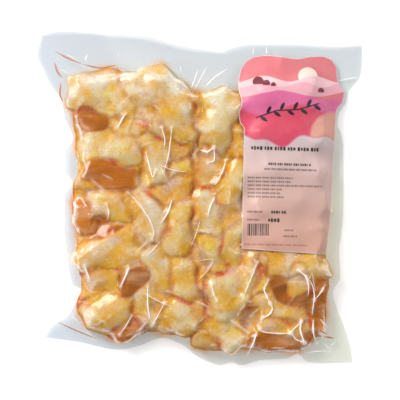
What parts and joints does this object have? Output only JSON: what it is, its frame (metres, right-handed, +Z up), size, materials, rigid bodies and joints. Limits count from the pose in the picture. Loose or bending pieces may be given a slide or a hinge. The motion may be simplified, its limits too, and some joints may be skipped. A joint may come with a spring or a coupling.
{
  "type": "vacuum pack of raw chicken wings",
  "caption": "Flat vacuum-sealed clear pouch of raw chicken wings with a die-cut paper label, lying face up.",
  "frame": {"origin": "middle of the pouch's footprint, on the surface that the pack lies on", "axes": "+Z up out of the label side, +Y along the longer side of the footprint towards the sealed mouth, +X to the label's side"},
  "size_m": [0.327, 0.3359, 0.034],
  "materials": {
    "film": "clear polyamide and polyethylene film, glossy, drawn tight over raw skin and meat",
    "label_paper": "coated label paper, satin"
  },
  "bodies": {
    "root": {"vacuum_pouch": "film", "label": "label_paper"}
  },
  "joints": []
}
